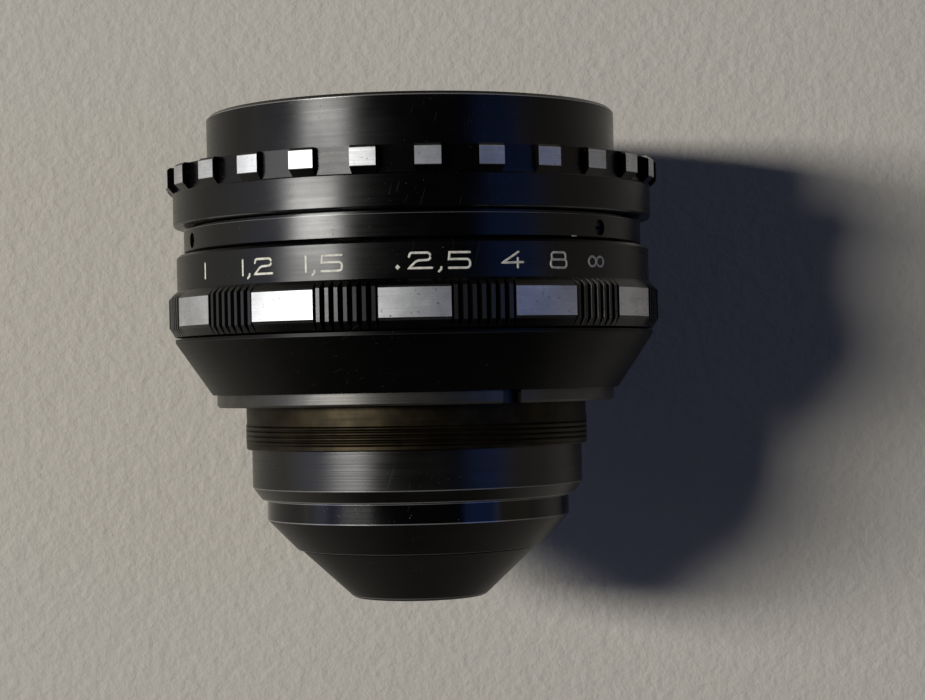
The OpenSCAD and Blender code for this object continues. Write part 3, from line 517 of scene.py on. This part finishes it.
# Each marking with the angle of its middle, in degrees from the top to the right.
SCALE = (("1", -55.3), ("1,2", -36.4), ("1,5", -18.9), (".", -2.2),
         ("2,5", 7.1), ("4", 23.9), ("8", 35.9), ("oo", 47.8))
CORNER_STEPS = (0, 0.17, 0.33, 0.5, 0.67, 0.83, 1)
CAP_STEPS = (0.97, 0.8, 0.5)
STROKE_SECTION = ((1, -1), (1, 0.2), (0.7, 1), (-0.7, 1), (-1, 0.2), (-1, -1))


def rounded_path(points):
    """Rounds the marked corners and spaces points evenly enough to bend on the ring."""
    path = []
    for i, corner in enumerate(points):
        here = Vector(corner[:2])
        if len(corner) == 3 and 0 < i < len(points) - 1:
            back = (Vector(points[i - 1][:2]) - here).normalized() * corner[2]
            on = (Vector(points[i + 1][:2]) - here).normalized() * corner[2]
            path += [here + back * (1 - t) ** 2 + on * t ** 2
                     for t in CORNER_STEPS]
        else:
            path.append(here)
    spaced = [path[0]]
    for a, b in zip(path, path[1:]):
        steps = max(1, math.ceil((b - a).length / PATH_STEP))
        spaced += [a.lerp(b, k / steps) for k in range(1, steps + 1)]
    return [p for k, p in enumerate(spaced) if k == 0 or (p - spaced[k - 1]).length > 1e-5]


def brush_stroke(shape, path, width, to_surface):
    """Adds one closed stroke of paint with round ends; to_surface places each point."""
    half_w = width / 2
    start, end = path[0], path[-1]
    first = (start - path[1]).normalized()
    last = (end - path[-2]).normalized()
    caps = [(math.sqrt(1 - t * t), t) for t in CAP_STEPS]
    stations = [(start + first * half_w * t, half_w * w) for w, t in caps]
    stations += [(p, half_w) for p in path]
    stations += [(end + last * half_w * t, half_w * w) for w, t in reversed(caps)]
    rows = []
    for k, (p, w) in enumerate(stations):
        before = stations[max(k - 1, 0)][0]
        after = stations[min(k + 1, len(stations) - 1)][0]
        into = (p - before).normalized() if (p - before).length > 1e-9 else None
        out = (after - p).normalized() if (after - p).length > 1e-9 else into
        into = into or out
        way = (into + out).normalized() if (into + out).length > 1e-6 else out
        side = Vector((-way.y, way.x)) * w / max(0.5, way.dot(out))
        rows.append([shape.verts.new(to_surface(p + side * u, h)) for u, h in STROKE_SECTION])
    for a, b in zip(rows, rows[1:]):
        for i in range(len(STROKE_SECTION)):
            j = (i + 1) % len(STROKE_SECTION)
            shape.faces.new((a[i], b[i], b[j], a[j]))
    shape.faces.new(rows[0])
    shape.faces.new(reversed(rows[-1]))


def on_ring(radius, angle, base):
    """Lays flat artwork on a ring: its origin comes to the angle and the base height."""
    def to_surface(p, rise):
        return on_lens(radius + PAINT_RISE * rise, math.radians(angle) + p.x / radius, base + p.y)
    return to_surface


def painted(name, shape, body):
    """Turns finished strokes into a piece of paint that a body carries."""
    bmesh.ops.recalc_face_normals(shape, faces=shape.faces)
    piece = add_piece(name, shape)
    piece.data.materials.append(paint.material)
    carry(piece, body)


def figure(name, text, angle):
    """Paints one marking of the scale, centred on its angle."""
    glyphs = [text] if text == "oo" else list(text)
    total = sum(FIGURES[g][0] for g in glyphs) + FIGURE_GAP * (len(glyphs) - 1)
    shape = bmesh.new()
    cursor = -total / 2
    for glyph in glyphs:
        wide, strokes = FIGURES[glyph]
        for points in strokes:
            path = [(p + Vector((cursor, 0))) * FIGURE_H for p in rounded_path(points)]
            brush_stroke(shape, path, STROKE_W, on_ring(SCALE_R, angle, BASE_LINE))
        cursor += wide + FIGURE_GAP
    painted(name, shape, "focus_unit")


for text, angle in SCALE:
    label = {".": "dot", "oo": "infinity"}.get(text, text.replace(",", "_"))
    figure("scale_figure_" + label, text, angle)

# --- Lens barrel ----------------------------------------------------------------------
# The sliding barrel that holds the glass. Only its polished rear end shows, with a bright
# line where its corner has been rubbed.
GLOSS_REAR_CORNER, GLOSS_FRONT_CORNER = -10.36, -8.62
gloss = black_anodised("barrel_gloss", (0.0016, 0.0016, 0.002), 0.15, lines=0.25, dust=0.5)
gloss_edge = corner_line(gloss, GLOSS_REAR_CORNER) + corner_line(gloss, GLOSS_FRONT_CORNER, 0.03)
edge_wear_and_glint(gloss, gloss_edge, 0.5)
finish_node(gloss, "lens_barrel")

# --- Index sleeve ---------------------------------------------------------------------
# A plain black sleeve in front of the scale, held by three slotted grub screws, with one
# short white dash at its rear edge that marks the distance.
SLEEVE_R, SLEEVE_CORNER = 21.1, 16.2
INDEX_ANGLE, INDEX_AT, INDEX_W, INDEX_REACH = 42.5, 14.26, 0.14, 0.22
sleeve = black_anodised("sleeve_black", (0.0014, 0.0014, 0.0014), 0.26)
edge_wear_and_glint(sleeve, corner_line(sleeve, SLEEVE_CORNER, 0.04), 0.3)
finish_node(sleeve, "index_sleeve")
dark_steel = Finish("dark_screws")
dark_steel_wear = dark_steel.noise(2200, 3)
dark_steel.shade(Base_Color=dark_steel.blend(dark_steel_wear.step(0.4, 0.7), (0.02, 0.02, 0.022, 1),
                                             (0.09, 0.09, 0.09, 1)),
                 Metallic=0.6, Roughness=0.45 + dark_steel_wear * 0.2)
finish_node(dark_steel, "sleeve_screws")

index_shape = bmesh.new()
brush_stroke(index_shape, [Vector((across, 0)) for across in (-INDEX_REACH, 0, INDEX_REACH)],
             INDEX_W, on_ring(SLEEVE_R, INDEX_ANGLE, INDEX_AT))
painted("index_line", index_shape, "lens_block")

# --- Iris ring ------------------------------------------------------------------------
# A black ring whose front edge is milled into twenty-six low teeth, each tooth skimmed to
# bare aluminium like the lands of the focusing ring.
TOOTH_R, TOOTH_REAR, TOOTH_FRONT, BAND_CORNER = 22.7, 20.1, 21.6, 16.66
iris = black_anodised("iris_ring_black", (0.0014, 0.0014, 0.0015), 0.27)
iris_r = iris.radius * 1000
on_tooth = (iris_r > (TOOTH_R - 0.045)) * (iris.height > (TOOTH_REAR - 0.1)) \
    * (iris.height < (TOOTH_FRONT + 0.05))
band_edge = corner_line(iris, BAND_CORNER) * iris.rubbed.step(0.45, 0.7) * 0.3
finish_node(skimmed(iris, on_tooth, band_edge), "iris_ring")

# --- Front barrel ---------------------------------------------------------------------
# The black front tube with the filter thread cut inside its mouth and the front lens cell
# screwed in behind. Its rim is rubbed bright in places.
FRONT_EDGE_R, FRONT_CORNER = 18.5, 26.42
FILTER_ROOT_R, FILTER_DEPTH, FILTER_LOW, FILTER_HIGH, FILTER_PITCH = 17.75, 0.24, 24.35, 26.5, 0.5
front = black_anodised("front_black", (0.0022, 0.0022, 0.0024), 0.27)
front_r = front.radius * 1000
edge_wear_and_glint(front, (front_r > FRONT_EDGE_R) * corner_line(front, FRONT_CORNER), 0.5)
finish_node(front, "front_barrel")
matte = black_anodised("matte_black", (0.005, 0.005, 0.005), 0.72, fade=0.05, dust=0.2)
matte.shade(Base_Color=matte.colour)
finish_node(matte, "front_trim_ring", "second_cell", "second_retainer", "inner_spacer",
            "iris_housing")
filter_turns = thread_ridge("filter_thread_turns", FILTER_ROOT_R, -FILTER_DEPTH, FILTER_LOW,
                            FILTER_HIGH, FILTER_PITCH, matte.material)
carry(filter_turns, "lens_block")

# --- Glass ----------------------------------------------------------------------------
# Polished elements with a single coating: the outer ones flash blue and amber, and the
# inner ones are plain crown and flint.


def optical_glass(name, tint, coat):
    made = Finish(name)
    cleaning = made.noise(160, 4)
    made.shade(Base_Color=made.blend(cleaning.step(0.55, 0.8) * 0.2, tint, (0.9, 0.93, 1.0, 1)),
               Roughness=0.01 + cleaning.step(0.6, 0.85) * 0.03)
    made.shader.inputs["Transmission Weight"].default_value = 1.0
    made.shader.inputs["IOR"].default_value = 1.6
    made.shader.inputs["Coat Weight"].default_value = 0.6
    made.shader.inputs["Coat Roughness"].default_value = 0.01
    made.shader.inputs["Coat Tint"].default_value = coat
    return made


blue_coated = optical_glass("blue_coated_glass", (0.90, 0.94, 1.0, 1), (0.45, 0.55, 1.0, 1))
amber_coated = optical_glass("amber_coated_glass", (1.0, 0.95, 0.88, 1), (1.0, 0.72, 0.40, 1))
plain_glass = optical_glass("crown_glass", (0.96, 0.98, 0.97, 1), (1, 1, 1, 1))
finish_node(blue_coated, "front_element", "rear_element")
finish_node(amber_coated, "second_element")
finish_node(plain_glass, "doublet_front", "doublet_rear", "inner_element")

# --- Iris diaphragm -------------------------------------------------------------------
# Eight thin spring-steel blades, blued and oiled, each pivoting on one pin and driven by
# a slot of the brass cam ring.
blades = Finish("blued_blades")
blade_oil = blades.noise(500, 4)
blades.shade(Base_Color=blades.blend(blade_oil.step(0.35, 0.7), (0.022, 0.024, 0.030, 1),
                                     (0.055, 0.057, 0.064, 1)),
             Metallic=0.85, Roughness=0.34 + blade_oil * 0.2,
             Normal=blades.bump(blades.noise(2600, 3), 0.000003))
finish_node(blades, *("blade_%d" % number for number in range(1, 9)))

# --- Rear cell ------------------------------------------------------------------------
# Two black cones that protect the rear element inside the camera. The first is satin, the second
# duller, with bright lines painted at the step between them and at a corner of the cap: painted
# highlights where glints fall.
CONE_CORNER, CAP_CORNER = -13.22, -17.55
cone = black_anodised("cone_black", (0.0008, 0.0008, 0.0008), 0.33, shine=0.13)
# Painted highlight: a bright bare-metal line at the cone's step, where a glint falls.
edge_wear_and_glint(cone, corner_line(cone, CONE_CORNER), 0.35)
finish_node(cone, "rear_cell")
cap = black_anodised("cap_black", (0.0012, 0.0012, 0.0010), 0.38, shine=0.13)
# Painted highlight: a fainter bright line at the cap's corner, where a glint falls.
edge_wear_and_glint(cap, corner_line(cap, CAP_CORNER), 0.25)
finish_node(cap, "rear_cap")
